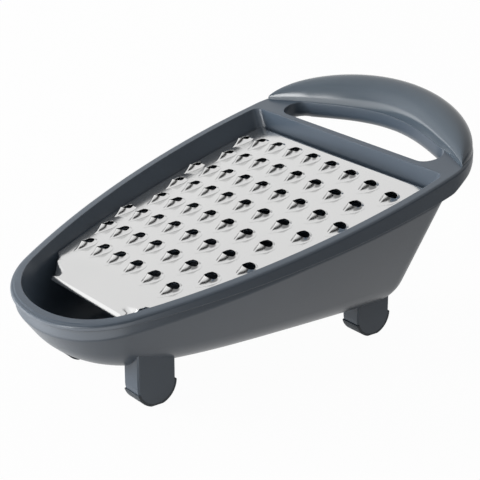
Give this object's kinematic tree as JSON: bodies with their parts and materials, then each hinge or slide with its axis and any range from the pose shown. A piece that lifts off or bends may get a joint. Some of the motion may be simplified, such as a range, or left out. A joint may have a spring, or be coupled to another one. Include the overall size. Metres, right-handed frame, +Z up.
{
  "type": "hand_grater",
  "caption": "Hand grater: an arched steel plate with 62 raised teeth lies in a boat-shaped tub that collects the gratings, with a looped handle and four rubber-soled feet.",
  "frame": {"origin": "on the ground under the middle of the whole object", "axes": "+X to the user's right hand side when the handle points at the user, +Y towards the handle, +Z up"},
  "size_m": [0.1312, 0.195, 0.0965],
  "materials": {
    "body": "glossy moulded plastic",
    "cover": "high gloss moulded plastic",
    "plate": "bright stainless sheet",
    "soles": "soft matt rubber"
  },
  "bodies": {
    "base": {"tub": "body", "handle_cover": "cover", "foot_pad_front_right": "soles", "foot_pad_front_left": "soles", "foot_pad_rear_right": "soles", "foot_pad_rear_left": "soles"},
    "plate": {"grater_plate": "plate"}
  },
  "joints": [
    {"name": "plate_tilt", "type": "hinge", "parent": "base", "child": "plate", "pos_m": [0, 0.0565, 0.0687], "axis": [-1, 0, 0], "range_deg": [0, 45]}
  ]
}
